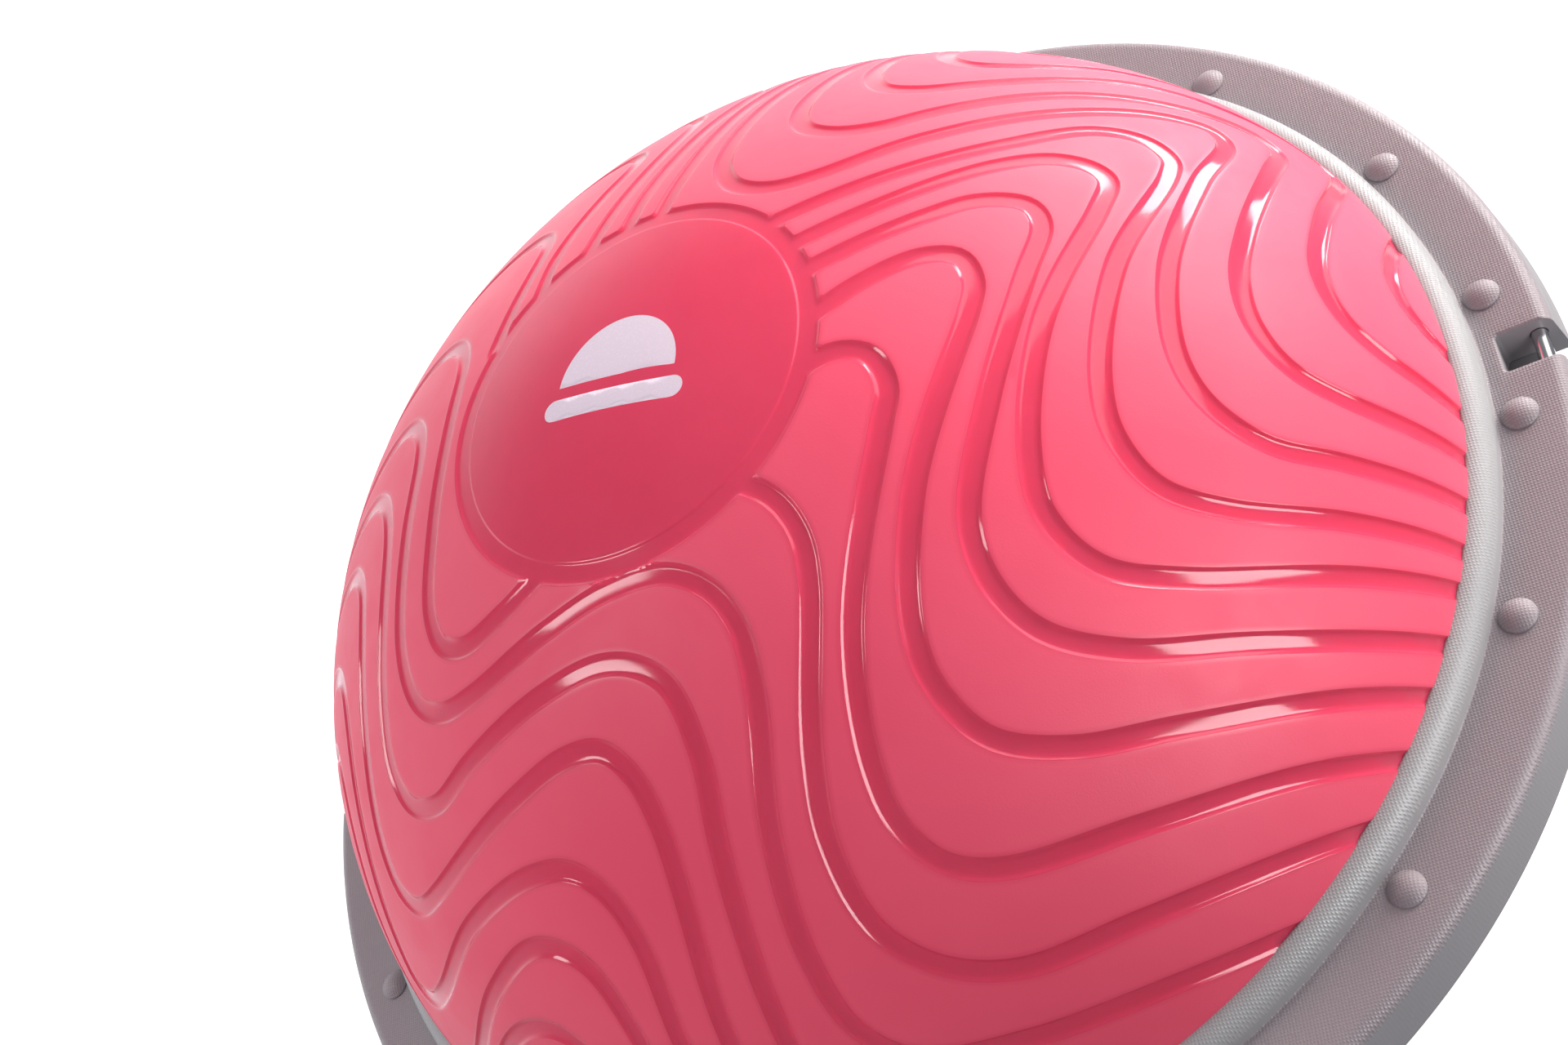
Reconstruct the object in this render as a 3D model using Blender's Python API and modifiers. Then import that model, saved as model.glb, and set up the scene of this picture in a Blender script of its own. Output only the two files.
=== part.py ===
"""Balance dome trainer: an inflated half-ball dome clamped by a rim ring onto a flat round platform.

Metres, +Z up. The origin is on the floor, under the dome's centre. The two band pockets are on the X axis
and the two hand grips on the Y axis. The rim, the platform and the dome are turned about Z.
"""

import math

import bmesh
import bpy
from mathutils import Matrix, Vector

NAME = "balance_dome_trainer"
GAP = 0.0003
TURN_STEPS = 64
SHARP_ANGLE = math.radians(35)
CUT_MARGIN = 0.001  # how far a cutter runs past the face it cuts

# Dome: an ellipsoid above the rim's lip, drawn in to a straight wall below it.
DOME_RADIUS = 0.2568
DOME_HALF_HEIGHT = 0.2079
DOME_CENTRE_Z = -0.0019
DOME_WALL = 0.003
DOME_STEPS = 12
DOME_INNER_STEPS = 8
LIP_Z = 0.038
NECK_RADIUS = 0.2521
BOTTOM_CORNER = 0.008
WELL_RADIUS = 0.028
WELL_DEPTH = 0.008
WELL_SLOPE = 0.004

# The dome's bead, held between the ring's underside and the platform's ledge.
BEAD_RADIUS = 0.2588
BEAD_HEIGHT = 0.0043

# Rim ring.
FLANGE_Z = 0.0271
FLANGE_THICKNESS = 0.003
CREST_RADIUS = 0.0028
CREST_Z = 0.0366
CREST_END = math.radians(22)
FLANGE_INNER = 0.2623
FOOT_FILLET = 0.0013
LIP_RADIUS = 0.0055
LIP_CENTRE_R = 0.2819
LIP_END = math.radians(4.5)
SKIRT_TOP_R = 0.2874
SKIRT_BOTTOM_R = 0.2895
SKIRT_BOTTOM_Z = 0.004
SKIRT_CHAMFER = 0.001
SKIRT_THICKNESS = 0.0031
HEM_TOP_Z = 0.009
HEM_SLOPE = 0.003

# Platform.
PLATE_RADIUS = 0.283
PLATE_THICKNESS = 0.004
PLATE_CHAMFER = 0.001
LEDGE_INNER = 0.2527
LEDGE_OUTER = 0.2597
VALVE_ACCESS_RADIUS = 0.024
BOSS_RADIUS = 0.006
RIB_THICKNESS = 0.0025
RIB_TOP_Z = 0.018
RIB_OUTER = 0.2815
RIB_ROOT = 0.002
RIBLESS_ANGLE = math.radians(10)  # no ribs this near a band pocket
GRIP_INNER = 0.2615
GRIP_OUTER = 0.2845
GRIP_HALF_ANGLE = math.radians(10.5)
GRIP_STEPS = 6

# Rivets: a pair beside each pocket, then one every 22 degrees or so, with none over the hand grips.
RIVET_ANGLES = [math.radians(degrees) for degrees in (6.0, 23.3, 45.3, 67.6)]
RIVET_CIRCLE = 0.2685
RIVET_HEAD_RADIUS = 0.00675
RIVET_HEAD_HEIGHT = 0.0030
RIVET_SHANK_RADIUS = 0.0025
RIVET_TIP_Z = 0.0102
RIVET_TIP_RADIUS = 0.0014
RIVET_POINT = 0.002
RIVET_TIP_CLEARANCE = 0.0007

# Band pockets and their pins.
POCKET_HALF_WIDTH = 0.0085
POCKET_INNER = 0.2667
POCKET_CORNER = 0.0015
POCKET_WALL = 0.0040
POCKET_OVERRUN = 0.01
PIN_RADIUS = 0.0030
PIN_R = 0.281
PIN_Z = 0.0185
PIN_HALF_LENGTH = 0.0122
PIN_CHAMFER = 0.0005

# Valve.
SEAT_FLANGE_RADIUS = 0.014
SEAT_FLANGE_THICKNESS = 0.001
SEAT_FLANGE_CROWN = 0.0014
SEAT_NECK_RADIUS = 0.0077
SEAT_HEIGHT = 0.0125
SEAT_BORE_RADIUS = 0.0053
MEMBRANE_HOLE_RADIUS = 0.008
PLUG_HEAD_RADIUS = 0.010
PLUG_HEAD_THICKNESS = 0.0022
PLUG_SHANK_RADIUS = 0.005
PLUG_SHANK_LENGTH = 0.012
PLUG_POINT = 0.002
PLUG_POINT_TAPER = 0.001
PLUG_CHAMFER = 0.0005

# Feet.
FOOT_COUNT = 8
FOOT_CIRCLE = 0.225
FOOT_RADIUS = 0.016
FOOT_RECESS = 0.001
FOOT_STEM_RADIUS = 0.004
FOOT_STEM_SHORT = 0.0005
FOOT_CHAMFER = 0.001

# Worked out from the above.
PLATE_TOP_Z = SKIRT_BOTTOM_Z + PLATE_THICKNESS
FLANGE_UNDER_Z = FLANGE_Z - FLANGE_THICKNESS
BEAD_TOP_Z = FLANGE_UNDER_Z - GAP
BEAD_BOTTOM_Z = BEAD_TOP_Z - BEAD_HEIGHT
LEDGE_Z = BEAD_BOTTOM_Z - GAP
MEMBRANE_Z = PLATE_TOP_Z + GAP
WELL_Z = MEMBRANE_Z + WELL_DEPTH
RING_INNER = NECK_RADIUS + GAP
HEM_INNER = PLATE_RADIUS + GAP


def clear_scene():
    for obj in list(bpy.data.objects):
        bpy.data.objects.remove(obj, do_unlink=True)


def new_collection(name, hidden):
    collection = bpy.data.collections.new(name)
    collection.hide_render = hidden
    bpy.context.scene.collection.children.link(collection)
    return collection


def new_material(name, colour, roughness, metallic=0.0):
    material = bpy.data.materials.new(name)
    material.use_nodes = True
    shader = material.node_tree.nodes["Principled BSDF"]
    shader.inputs["Base Color"].default_value = (*colour, 1.0)
    shader.inputs["Roughness"].default_value = roughness
    shader.inputs["Metallic"].default_value = metallic
    return material


def arc(centre, radius, start, end, steps):
    """Points (r, z) along an arc, from the angle start to the angle end."""
    points = []
    for i in range(steps + 1):
        angle = start + (end - start) * i / steps
        points.append((centre[0] + radius * math.cos(angle), centre[1] + radius * math.sin(angle)))
    return points


def link(name, mesh, collection, location=(0.0, 0.0, 0.0)):
    obj = bpy.data.objects.new(name, mesh)
    obj.location = location
    collection.objects.link(obj)
    return obj


def turned(name, profile, collection, steps=TURN_STEPS, location=(0.0, 0.0, 0.0), closed=False):
    """A profile of (r, z) points, down its outer side, turned about Z."""
    mesh = bpy.data.meshes.new(name)
    edges = [(i, i + 1) for i in range(len(profile) - 1)]
    if closed:
        edges.append((len(profile) - 1, 0))
    mesh.from_pydata([(r, 0.0, z) for r, z in profile], edges, [])
    obj = link(name, mesh, collection, location)
    screw = obj.modifiers.new("Turn", "SCREW")
    screw.steps = steps
    screw.render_steps = steps
    screw.use_merge_vertices = True
    screw.merge_threshold = 0.00001
    return obj


def cylinder(name, radius, low, high, collection, segments, place, axis="Z"):
    """A cylinder between two heights at a place (x, y), or between two values of y at a place (x, z)."""
    mesh = bpy.data.meshes.new(name)
    bm = bmesh.new()
    bmesh.ops.create_cone(bm, cap_ends=True, segments=segments, radius1=radius, radius2=radius,
                          depth=high - low)
    middle = (low + high) / 2
    if axis == "Y":
        bmesh.ops.rotate(bm, verts=bm.verts, matrix=Matrix.Rotation(math.pi / 2, 3, "X"))
        location = (place[0], middle, place[1])
    else:
        location = (place[0], place[1], middle)
    bm.to_mesh(mesh)
    bm.free()
    return link(name, mesh, collection, location)


def box(name, low, high, collection):
    mesh = bpy.data.meshes.new(name)
    bm = bmesh.new()
    bmesh.ops.create_cube(bm, size=1.0)
    size = Vector(high) - Vector(low)
    bmesh.ops.scale(bm, verts=bm.verts, vec=size)
    bm.to_mesh(mesh)
    bm.free()
    return link(name, mesh, collection, (Vector(high) + Vector(low)) / 2)


def outline_solid(name, points, z_low, z_high, collection):
    """A flat outline of (x, y) points as a solid between two heights."""
    curve = bpy.data.curves.new(name, "CURVE")
    curve.dimensions = "2D"
    curve.fill_mode = "BOTH"
    curve.extrude = (z_high - z_low) / 2
    spline = curve.splines.new("POLY")
    spline.points.add(len(points) - 1)
    for point, (x, y) in zip(spline.points, points):
        point.co = (x, y, 0.0, 1.0)
    spline.use_cyclic_u = True
    drawn = link(name + "_outline", curve, collection, (0.0, 0.0, (z_low + z_high) / 2))
    bpy.context.view_layer.update()
    mesh = bpy.data.meshes.new_from_object(drawn.evaluated_get(bpy.context.evaluated_depsgraph_get()))
    bm = bmesh.new()
    bm.from_mesh(mesh)
    bmesh.ops.remove_doubles(bm, verts=bm.verts, dist=0.000001)
    bmesh.ops.recalc_face_normals(bm, faces=bm.faces)
    bm.to_mesh(mesh)
    bm.free()
    obj = link(name, mesh, collection, drawn.location)
    bpy.data.objects.remove(drawn)
    return obj


def combine(obj, other, operation):
    modifier = obj.modifiers.new(other.name, "BOOLEAN")
    modifier.operation = operation
    modifier.object = other


def spin(obj, angle):
    """Turns an object about the world's Z axis."""
    bpy.context.view_layer.update()
    obj.matrix_world = Matrix.Rotation(angle, 4, "Z") @ obj.matrix_world


def settle(obj, material):
    """Applies the modifiers and shades the piece smooth between its sharp edges."""
    bpy.context.view_layer.update()
    mesh = bpy.data.meshes.new_from_object(obj.evaluated_get(bpy.context.evaluated_depsgraph_get()))
    mesh.name = obj.name
    mesh.materials.clear()
    mesh.materials.append(material)
    mesh.shade_smooth()
    mesh.set_sharp_from_angle(angle=SHARP_ANGLE)
    obj.modifiers.clear()
    obj.data = mesh
    return obj


def around(angles):
    """The angles mirrored into all four quarters, in order round the rim."""
    quarters = [angles, [math.pi - a for a in angles], [math.pi + a for a in angles], [-a for a in angles]]
    return sorted(angle % math.tau for quarter in quarters for angle in quarter)


def at(radius, angle):
    return radius * math.cos(angle), radius * math.sin(angle)


def dome_points(thickness, steps, z_low):
    """(r, z) down the ellipsoid, this far inside its outer skin, from the pole to a height."""
    radius = DOME_RADIUS - thickness
    height = DOME_HALF_HEIGHT - thickness
    end = math.asin((z_low - DOME_CENTRE_Z) / height)
    points = []
    for i in range(steps + 1):
        angle = math.pi / 2 + (end - math.pi / 2) * i / steps
        points.append((max(0.0, radius * math.cos(angle)), DOME_CENTRE_Z + height * math.sin(angle)))
    points[0] = (0.0, points[0][1])
    return points


def make_dome(parts, material):
    """The bladder: dome, clamping bead, flat bottom membrane and the raised well round the valve hole."""
    outside = dome_points(0.0, DOME_STEPS, LIP_Z)
    outside += [(NECK_RADIUS, BEAD_TOP_Z), (BEAD_RADIUS, BEAD_TOP_Z), (BEAD_RADIUS, BEAD_BOTTOM_Z)]
    outside += [(NECK_RADIUS, BEAD_BOTTOM_Z)]
    corner = (NECK_RADIUS - BOTTOM_CORNER, MEMBRANE_Z + BOTTOM_CORNER)
    outside += arc(corner, BOTTOM_CORNER, 0.0, -math.pi / 2, 3)
    outside += [(WELL_RADIUS + WELL_SLOPE, MEMBRANE_Z), (WELL_RADIUS, WELL_Z), (MEMBRANE_HOLE_RADIUS, WELL_Z)]
    inside = [(MEMBRANE_HOLE_RADIUS, WELL_Z + DOME_WALL)]
    inside += [(WELL_RADIUS + DOME_WALL / 2, WELL_Z + DOME_WALL)]
    inside += [(WELL_RADIUS + WELL_SLOPE + DOME_WALL / 2, MEMBRANE_Z + DOME_WALL)]
    inside += [(corner[0], MEMBRANE_Z + DOME_WALL), (NECK_RADIUS - DOME_WALL, corner[1])]
    inside += reversed(dome_points(DOME_WALL, DOME_INNER_STEPS, LIP_Z))
    return settle(turned("dome_bladder", outside + inside, parts), material)


def ring_outline():
    """The rim's outer side, from the inner edge of its crest to the skirt's bottom edge."""
    crest = (RING_INNER + CREST_RADIUS, CREST_Z)
    outline = arc(crest, CREST_RADIUS, math.pi, CREST_END, 5)
    outline += [(FLANGE_INNER - FOOT_FILLET, FLANGE_Z + FOOT_FILLET), (FLANGE_INNER, FLANGE_Z)]
    outline += arc((LIP_CENTRE_R, FLANGE_Z - LIP_RADIUS), LIP_RADIUS, math.pi / 2, LIP_END, 4)
    outline += [(SKIRT_BOTTOM_R, SKIRT_BOTTOM_Z + SKIRT_CHAMFER)]
    outline += [(SKIRT_BOTTOM_R - SKIRT_CHAMFER, SKIRT_BOTTOM_Z)]
    return outline


def pocket_outline():
    """The pocket in plan: rounded inner corners, open outwards past the skirt."""
    inner = POCKET_INNER + POCKET_CORNER
    side = POCKET_HALF_WIDTH - POCKET_CORNER
    outer = SKIRT_BOTTOM_R + POCKET_OVERRUN
    points = [(outer, -POCKET_HALF_WIDTH)]
    points += [(outer, POCKET_HALF_WIDTH)]
    points += arc((inner, side), POCKET_CORNER, math.pi / 2, math.pi, 3)
    points += arc((inner, -side), POCKET_CORNER, math.pi, math.pi * 1.5, 3)
    return points


def make_ring(parts, cutters, material):
    """The rim ring: a turned section with a walled band pocket on each side and a hole for each rivet."""
    outline = ring_outline()
    section = outline + [(HEM_INNER, SKIRT_BOTTOM_Z), (HEM_INNER, HEM_TOP_Z)]
    section += [(SKIRT_BOTTOM_R - SKIRT_THICKNESS - SKIRT_CHAMFER, HEM_TOP_Z + HEM_SLOPE)]
    section += [(SKIRT_TOP_R - SKIRT_THICKNESS, FLANGE_Z - LIP_RADIUS), (LIP_CENTRE_R, FLANGE_UNDER_Z)]
    section += [(RING_INNER, FLANGE_UNDER_Z)]
    ring = turned("clamp_ring", section, parts, closed=True)
    inside_limit = POCKET_INNER - POCKET_WALL
    filled = [point for point in outline if point[0] > FLANGE_INNER]
    filled = [(inside_limit, FLANGE_Z)] + filled + [(inside_limit, SKIRT_BOTTOM_Z)]
    for side, angle in (("east", 0.0), ("west", math.pi)):
        walls = turned("pocket_walls_" + side, filled, cutters, closed=True)
        half = POCKET_HALF_WIDTH + POCKET_WALL
        span = box("pocket_span_" + side, (inside_limit - CUT_MARGIN, -half, PLATE_TOP_Z + GAP),
                   (SKIRT_BOTTOM_R + POCKET_OVERRUN, half, FLANGE_Z + CUT_MARGIN), cutters)
        pocket = outline_solid("pocket_" + side, pocket_outline(), 0.0, FLANGE_Z + POCKET_OVERRUN, cutters)
        bore = cylinder("pin_bore_" + side, PIN_RADIUS + GAP, -half - CUT_MARGIN, half + CUT_MARGIN, cutters,
                        20, (PIN_R, PIN_Z), "Y")
        for tool in (span, pocket, bore):
            spin(tool, angle)
        combine(walls, span, "INTERSECT")
        combine(ring, walls, "UNION")
        combine(ring, pocket, "DIFFERENCE")
        combine(ring, bore, "DIFFERENCE")
    for number, angle in enumerate(around(RIVET_ANGLES), 1):
        hole = cylinder(f"rivet_hole_{number:02d}", RIVET_SHANK_RADIUS + GAP, FLANGE_UNDER_Z - CUT_MARGIN,
                        FLANGE_Z + CUT_MARGIN, cutters, 10, at(RIVET_CIRCLE, angle))
        combine(ring, hole, "DIFFERENCE")
    return settle(ring, material)


def grip_outline():
    """A hand grip in plan, on +Y: a stretch of ring between two radii."""
    start = math.pi / 2 - GRIP_HALF_ANGLE
    end = math.pi / 2 + GRIP_HALF_ANGLE
    centre = (0.0, 0.0)
    return arc(centre, GRIP_INNER, start, end, GRIP_STEPS) + arc(centre, GRIP_OUTER, end, start, GRIP_STEPS)


def make_platform(parts, cutters, material):
    """The platform: plate, ledge for the dome's bead, ribbed bosses, hand grips, valve and foot holes."""
    section = [(LEDGE_INNER, LEDGE_Z), (LEDGE_OUTER, LEDGE_Z), (LEDGE_OUTER, PLATE_TOP_Z)]
    section += [(PLATE_RADIUS, PLATE_TOP_Z), (PLATE_RADIUS, SKIRT_BOTTOM_Z + PLATE_CHAMFER)]
    section += [(PLATE_RADIUS - PLATE_CHAMFER, SKIRT_BOTTOM_Z), (VALVE_ACCESS_RADIUS, SKIRT_BOTTOM_Z)]
    section += [(VALVE_ACCESS_RADIUS, PLATE_TOP_Z), (LEDGE_INNER, PLATE_TOP_Z)]
    platform = turned("base_platform", section, parts, closed=True)
    sunk = PLATE_TOP_Z - PLATE_THICKNESS / 2
    for number, angle in enumerate(around(RIVET_ANGLES), 1):
        place = at(RIVET_CIRCLE, angle)
        rib = box(f"boss_rib_{number:02d}", (LEDGE_OUTER - RIB_ROOT, -RIB_THICKNESS / 2, sunk),
                  (RIB_OUTER, RIB_THICKNESS / 2, RIB_TOP_Z), cutters)
        spin(rib, angle)
        boss = cylinder(f"boss_{number:02d}", BOSS_RADIUS, sunk, BEAD_TOP_Z, cutters, 14, place)
        hole = cylinder(f"boss_hole_{number:02d}", RIVET_SHANK_RADIUS + GAP,
                        RIVET_TIP_Z - RIVET_TIP_CLEARANCE, BEAD_TOP_Z + CUT_MARGIN, cutters, 10, place)
        if abs(math.sin(angle)) > math.sin(RIBLESS_ANGLE):
            combine(platform, rib, "UNION")
        combine(platform, boss, "UNION")
        combine(platform, hole, "DIFFERENCE")
    for side, angle in (("north", 0.0), ("south", math.pi)):
        grip = outline_solid("grip_" + side, grip_outline(), SKIRT_BOTTOM_Z - CUT_MARGIN,
                             PLATE_TOP_Z + CUT_MARGIN, cutters)
        spin(grip, angle)
        combine(platform, grip, "DIFFERENCE")
    for number, place in enumerate(foot_places(), 1):
        recess = cylinder(f"foot_recess_{number:02d}", FOOT_RADIUS + GAP, SKIRT_BOTTOM_Z - CUT_MARGIN,
                          SKIRT_BOTTOM_Z + FOOT_RECESS, cutters, 16, place)
        hole = cylinder(f"foot_hole_{number:02d}", FOOT_STEM_RADIUS + GAP, SKIRT_BOTTOM_Z,
                        PLATE_TOP_Z + CUT_MARGIN, cutters, 16, place)
        combine(platform, recess, "DIFFERENCE")
        combine(platform, hole, "DIFFERENCE")
    return settle(platform, material)


def foot_places():
    return [at(FOOT_CIRCLE, math.tau * (i + 0.5) / FOOT_COUNT) for i in range(FOOT_COUNT)]


def make_rivets(parts, material):
    """Push-in rivets: a low domed head on the flange and a shank in the platform's boss."""
    seat = FLANGE_Z + GAP
    cap_radius = (RIVET_HEAD_RADIUS**2 + RIVET_HEAD_HEIGHT**2) / (2 * RIVET_HEAD_HEIGHT)
    edge = math.acos(RIVET_HEAD_RADIUS / cap_radius)
    profile = arc((0.0, RIVET_HEAD_HEIGHT - cap_radius), cap_radius, math.pi / 2, edge, 3)
    profile[0] = (0.0, RIVET_HEAD_HEIGHT)
    profile += [(RIVET_SHANK_RADIUS, 0.0), (RIVET_SHANK_RADIUS, RIVET_TIP_Z + RIVET_POINT - seat)]
    profile += [(RIVET_TIP_RADIUS, RIVET_TIP_Z - seat), (0.0, RIVET_TIP_Z - seat)]
    for number, angle in enumerate(around(RIVET_ANGLES), 1):
        x, y = at(RIVET_CIRCLE, angle)
        settle(turned(f"rim_rivet_{number:02d}", profile, parts, 10, (x, y, seat)), material)


def make_pins(parts, material):
    """A round bar with chamfered ends across each band pocket."""
    for number, x in enumerate((PIN_R, -PIN_R), 1):
        pin = cylinder(f"anchor_pin_{number:02d}", PIN_RADIUS, -PIN_HALF_LENGTH, PIN_HALF_LENGTH, parts, 20,
                       (x, PIN_Z), "Y")
        bevel = pin.modifiers.new("Chamfer", "BEVEL")
        bevel.width = PIN_CHAMFER
        bevel.segments = 1
        bevel.limit_method = "ANGLE"
        bevel.angle_limit = math.radians(60)
        settle(pin, material)


def make_valve(parts, seat_material, plug_material):
    """The valve body in the membrane's well, and the plug that closes it from below."""
    low = WELL_Z - GAP
    shelf = WELL_Z + DOME_WALL + GAP
    top = shelf + SEAT_HEIGHT
    seat = [(SEAT_BORE_RADIUS, top), (SEAT_NECK_RADIUS, top), (SEAT_NECK_RADIUS, shelf + SEAT_FLANGE_CROWN)]
    seat += [(SEAT_FLANGE_RADIUS, shelf + SEAT_FLANGE_THICKNESS), (SEAT_FLANGE_RADIUS, shelf)]
    seat += [(SEAT_NECK_RADIUS, shelf), (SEAT_NECK_RADIUS, low), (SEAT_FLANGE_RADIUS, low)]
    seat += [(SEAT_FLANGE_RADIUS, low - SEAT_FLANGE_THICKNESS)]
    seat += [(SEAT_BORE_RADIUS, low - SEAT_FLANGE_THICKNESS)]
    settle(turned("valve_seat", seat, parts, 20, closed=True), seat_material)
    plug_z = low - SEAT_FLANGE_THICKNESS - GAP
    plug = [(0.0, PLUG_SHANK_LENGTH), (PLUG_SHANK_RADIUS - PLUG_POINT_TAPER, PLUG_SHANK_LENGTH)]
    plug += [(PLUG_SHANK_RADIUS, PLUG_SHANK_LENGTH - PLUG_POINT), (PLUG_SHANK_RADIUS, 0.0)]
    plug += [(PLUG_HEAD_RADIUS, 0.0), (PLUG_HEAD_RADIUS, PLUG_CHAMFER - PLUG_HEAD_THICKNESS)]
    plug += [(PLUG_HEAD_RADIUS - PLUG_CHAMFER, -PLUG_HEAD_THICKNESS), (0.0, -PLUG_HEAD_THICKNESS)]
    settle(turned("valve_plug", plug, parts, 20, (0.0, 0.0, plug_z)), plug_material)


def make_feet(parts, material):
    """Rubber feet: a disc in the plate's recess, with a stem in its hole."""
    top = SKIRT_BOTTOM_Z + FOOT_RECESS - GAP
    stem_top = PLATE_TOP_Z - FOOT_STEM_SHORT
    profile = [(0.0, stem_top), (FOOT_STEM_RADIUS, stem_top), (FOOT_STEM_RADIUS, top), (FOOT_RADIUS, top)]
    profile += [(FOOT_RADIUS, FOOT_CHAMFER), (FOOT_RADIUS - FOOT_CHAMFER, 0.0), (0.0, 0.0)]
    for number, (x, y) in enumerate(foot_places(), 1):
        settle(turned(f"foot_pad_{number:02d}", profile, parts, 16, (x, y, 0.0)), material)


def main():
    clear_scene()
    parts = new_collection(NAME, hidden=False)
    cutters = new_collection("cutters", hidden=True)
    pink = new_material("soft_pvc_pink", (0.85, 0.13, 0.20), 0.35)
    grey = new_material("moulded_grey", (0.56, 0.53, 0.55), 0.45)
    steel = new_material("polished_steel", (0.80, 0.80, 0.82), 0.12, 1.0)
    rubber = new_material("black_rubber", (0.03, 0.03, 0.03), 0.7)
    white = new_material("plug_white", (0.85, 0.85, 0.85), 0.4)
    make_dome(parts, pink)
    make_ring(parts, cutters, grey)
    make_platform(parts, cutters, grey)
    make_rivets(parts, grey)
    make_pins(parts, steel)
    make_valve(parts, rubber, white)
    make_feet(parts, rubber)
    for helper in cutters.objects:
        helper.hide_render = True
        helper.display_type = "WIRE"


main()
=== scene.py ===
"""Looks of the balance dome trainer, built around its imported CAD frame.

Metres, +Z up, in the CAD's own frame. The dome's tread is laid out on a flat chart of its skin: a chart
point's distance from the centre is the length along the skin from the dome's top, and its direction is the
true one in plan. Chart lengths are in millimetres.
"""

import math

import bmesh
import bpy
import numpy as np
from mathutils import Matrix, Vector
from mathutils.geometry import delaunay_2d_cdt
from mathutils.kdtree import KDTree


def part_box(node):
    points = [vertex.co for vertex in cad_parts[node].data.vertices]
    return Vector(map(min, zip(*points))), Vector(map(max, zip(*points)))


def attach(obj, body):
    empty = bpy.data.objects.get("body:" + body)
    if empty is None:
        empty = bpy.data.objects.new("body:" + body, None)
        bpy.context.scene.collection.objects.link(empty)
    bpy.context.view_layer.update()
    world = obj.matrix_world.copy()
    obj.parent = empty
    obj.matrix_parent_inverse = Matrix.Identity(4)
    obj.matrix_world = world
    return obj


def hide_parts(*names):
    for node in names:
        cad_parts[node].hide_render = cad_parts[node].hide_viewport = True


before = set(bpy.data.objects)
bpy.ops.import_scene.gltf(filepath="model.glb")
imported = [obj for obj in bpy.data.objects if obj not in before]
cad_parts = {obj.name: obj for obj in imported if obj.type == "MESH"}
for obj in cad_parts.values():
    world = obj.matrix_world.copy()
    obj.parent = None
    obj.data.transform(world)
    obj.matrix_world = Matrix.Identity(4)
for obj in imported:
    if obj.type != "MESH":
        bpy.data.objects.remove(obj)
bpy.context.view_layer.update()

MM = 0.001
BODY = "trainer"
PLUG_BODY = "plug"
FIT_GAP = 0.0003  # the CAD's clearance between parts that fit together

# The dome's skin: an ellipsoid down to the rim's lip, then a straight neck.
DOME_RADIUS = 0.2568
DOME_CENTRE_Z = -0.0019
DOME_HALF_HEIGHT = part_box("dome_bladder")[1].z - DOME_CENTRE_Z
DOME_WALL = 0.003
LIP_Z = 0.038
NECK_RADIUS = 0.2521
NECK_STEPS = 480
BEAD_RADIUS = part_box("dome_bladder")[1].x
BEAD_TOP_Z = 0.0238
BEAD_BOTTOM_Z = 0.0195
MEMBRANE_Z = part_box("dome_bladder")[0].z
BOTTOM_CORNER = 0.008
WELL_RADIUS = 0.028
WELL_SLOPE = 0.004
WELL_DEPTH = 0.008
HOLE_RADIUS = 0.008

# The tread's grooves, in chart millimetres.
GROOVE_FLOOR = 2.7
GROOVE_HALF = 4.15
GROOVE_DEPTH = 1.1
FLOOR_DISH = 0.10
EDGE_ROLL = 0.07
EDGE_ROLL_LENGTH = 0.8
GROOVE_LINES = (0.0, 1.6, 2.7, 3.15, 3.9, 4.15, 4.35, 6.2)
WALL_FILLET = 0.3
GROOVE_SPACING = 2.5
LOOKUP_SPACING = 0.5
LINE_TOLERANCE = 0.12
EDGE_MARGIN = 0.8
FILL_SPACING = 6.0
FILL_ROW = 0.866  # a grid row's height, as a share of the spacing
GLOSS_EDGE = 0.35
GLOSS_FADE = 0.3
MEDALLION_CENTRE = (-0.6, 0.9)
MEDALLION_GROOVE = 77.4
MEDALLION_STEPS = 220
DISC_STEP = 0.4
DISC_EDGE = 73.4
DISC_EDGE_LINES = (-1.6, -0.9, -0.55, -0.25, 0.0, 0.25, 0.5, 0.9)

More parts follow.
